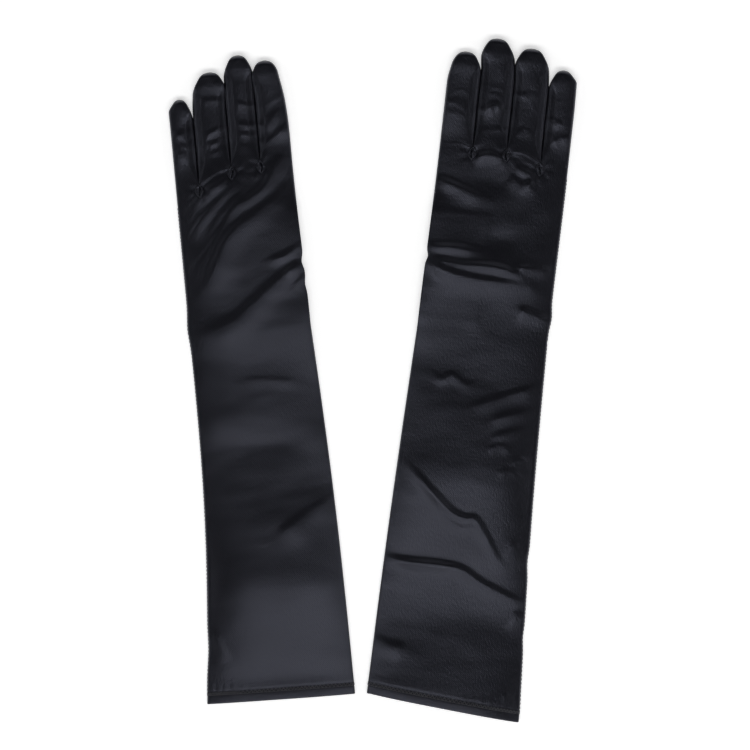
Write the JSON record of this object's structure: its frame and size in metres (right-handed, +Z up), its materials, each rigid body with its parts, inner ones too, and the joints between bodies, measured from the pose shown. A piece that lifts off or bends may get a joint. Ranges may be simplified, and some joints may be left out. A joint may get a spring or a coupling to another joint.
{
  "type": "opera gloves",
  "caption": "Pair of long dark satin opera gloves lying back up, with open cuffs, folding wrists and fingers, and thumbs tucked under the palms.",
  "frame": {"origin": "centre of the pair's bounding box, on the table under it", "axes": "+Z up from the table, +Y from the cuffs towards the fingertips, -X towards the left glove"},
  "size_m": [0.326, 0.5416, 0.0139],
  "materials": {
    "back_satin": "black satin with a cool sheen",
    "palm_satin": "black satin, a little duller from handling",
    "fourchette_satin": "black satin cut across the grain",
    "hem_satin": "black satin, folded double",
    "thread": "twisted polyester thread"
  },
  "bodies": {
    "left_sleeve": {"left_sleeve_back": "back_satin", "left_sleeve_palm": "palm_satin", "left_cuff_hem": "hem_satin", "left_hem_stitching": "thread", "left_sleeve_side_seam": "thread"},
    "left_hand": {"left_hand_back": "back_satin", "left_hand_palm": "palm_satin", "left_hand_side_seam": "thread", "left_index_middle_quirk": "fourchette_satin", "left_middle_ring_quirk": "fourchette_satin", "left_ring_little_quirk": "fourchette_satin"},
    "left_index": {"left_index_back": "back_satin", "left_index_palm": "palm_satin", "left_index_inner_fourchette": "fourchette_satin"},
    "left_middle": {"left_middle_back": "back_satin", "left_middle_palm": "palm_satin", "left_middle_inner_fourchette": "fourchette_satin", "left_middle_outer_fourchette": "fourchette_satin"},
    "left_ring": {"left_ring_back": "back_satin", "left_ring_palm": "palm_satin", "left_ring_inner_fourchette": "fourchette_satin", "left_ring_outer_fourchette": "fourchette_satin"},
    "left_little": {"left_little_back": "back_satin", "left_little_palm": "palm_satin", "left_little_outer_fourchette": "fourchette_satin"},
    "left_thumb": {"left_thumb_back": "back_satin", "left_thumb_palm": "palm_satin"},
    "right_sleeve": {"right_sleeve_back": "back_satin", "right_sleeve_palm": "palm_satin", "right_cuff_hem": "hem_satin", "right_hem_stitching": "thread", "right_sleeve_side_seam": "thread"},
    "right_hand": {"right_hand_back": "back_satin", "right_hand_palm": "palm_satin", "right_hand_side_seam": "thread", "right_index_middle_quirk": "fourchette_satin", "right_middle_ring_quirk": "fourchette_satin", "right_ring_little_quirk": "fourchette_satin"},
    "right_index": {"right_index_back": "back_satin", "right_index_palm": "palm_satin", "right_index_inner_fourchette": "fourchette_satin"},
    "right_middle": {"right_middle_back": "back_satin", "right_middle_palm": "palm_satin", "right_middle_inner_fourchette": "fourchette_satin", "right_middle_outer_fourchette": "fourchette_satin"},
    "right_ring": {"right_ring_back": "back_satin", "right_ring_palm": "palm_satin", "right_ring_inner_fourchette": "fourchette_satin", "right_ring_outer_fourchette": "fourchette_satin"},
    "right_little": {"right_little_back": "back_satin", "right_little_palm": "palm_satin", "right_little_outer_fourchette": "fourchette_satin"},
    "right_thumb": {"right_thumb_back": "back_satin", "right_thumb_palm": "palm_satin"}
  },
  "joints": [
    {"name": "left_wrist_fold", "type": "hinge", "parent": "left_sleeve", "child": "left_hand", "pos_m": [-0.09869, 0.03862, 0.0141], "axis": [0.9958, 0.0915, 0], "range_deg": [0, 85]},
    {"name": "left_index_fold", "type": "hinge", "parent": "left_hand", "child": "left_index", "pos_m": [-0.07698, 0.17066, 0.0077], "axis": [0.9958, 0.0915, 0], "range_deg": [0, 85]},
    {"name": "left_middle_fold", "type": "hinge", "parent": "left_hand", "child": "left_middle", "pos_m": [-0.10185, 0.17139, 0.0077], "axis": [0.9958, 0.0915, 0], "range_deg": [0, 85]},
    {"name": "left_ring_fold", "type": "hinge", "parent": "left_hand", "child": "left_ring", "pos_m": [-0.12639, 0.16311, 0.0077], "axis": [0.9958, 0.0915, 0], "range_deg": [0, 85]},
    {"name": "left_little_fold", "type": "hinge", "parent": "left_hand", "child": "left_little", "pos_m": [-0.14825, 0.14905, 0.0077], "axis": [0.9958, 0.0915, 0], "range_deg": [0, 85]},
    {"name": "left_thumb_swing", "type": "hinge", "parent": "left_hand", "child": "left_thumb", "pos_m": [-0.07384, 0.06325, 0.0028], "axis": [0, 0, -1], "range_deg": [0, 70]},
    {"name": "right_wrist_fold", "type": "hinge", "parent": "right_sleeve", "child": "right_hand", "pos_m": [0.08649, 0.03509, 0.0141], "axis": [0.994, -0.1097, 0], "range_deg": [0, 85]},
    {"name": "right_index_fold", "type": "hinge", "parent": "right_hand", "child": "right_index", "pos_m": [0.06601, 0.18172, 0.0077], "axis": [0.994, -0.1097, 0], "range_deg": [0, 85]},
    {"name": "right_middle_fold", "type": "hinge", "parent": "right_hand", "child": "right_middle", "pos_m": [0.09338, 0.18272, 0.0077], "axis": [0.994, -0.1097, 0], "range_deg": [0, 85]},
    {"name": "right_ring_fold", "type": "hinge", "parent": "right_hand", "child": "right_ring", "pos_m": [0.12044, 0.17672, 0.0077], "axis": [0.994, -0.1097, 0], "range_deg": [0, 85]},
    {"name": "right_little_fold", "type": "hinge", "parent": "right_hand", "child": "right_little", "pos_m": [0.14471, 0.16599, 0.0077], "axis": [0.994, -0.1097, 0], "range_deg": [0, 85]},
    {"name": "right_thumb_swing", "type": "hinge", "parent": "right_hand", "child": "right_thumb", "pos_m": [0.06066, 0.06083, 0.0028], "axis": [0, 0, 1], "range_deg": [0, 70]},
    {"name": "pair_spread", "type": "slide", "parent": "left_sleeve", "child": "right_sleeve", "axis": [1, 0, 0], "range_m": [0, 0.15]}
  ]
}
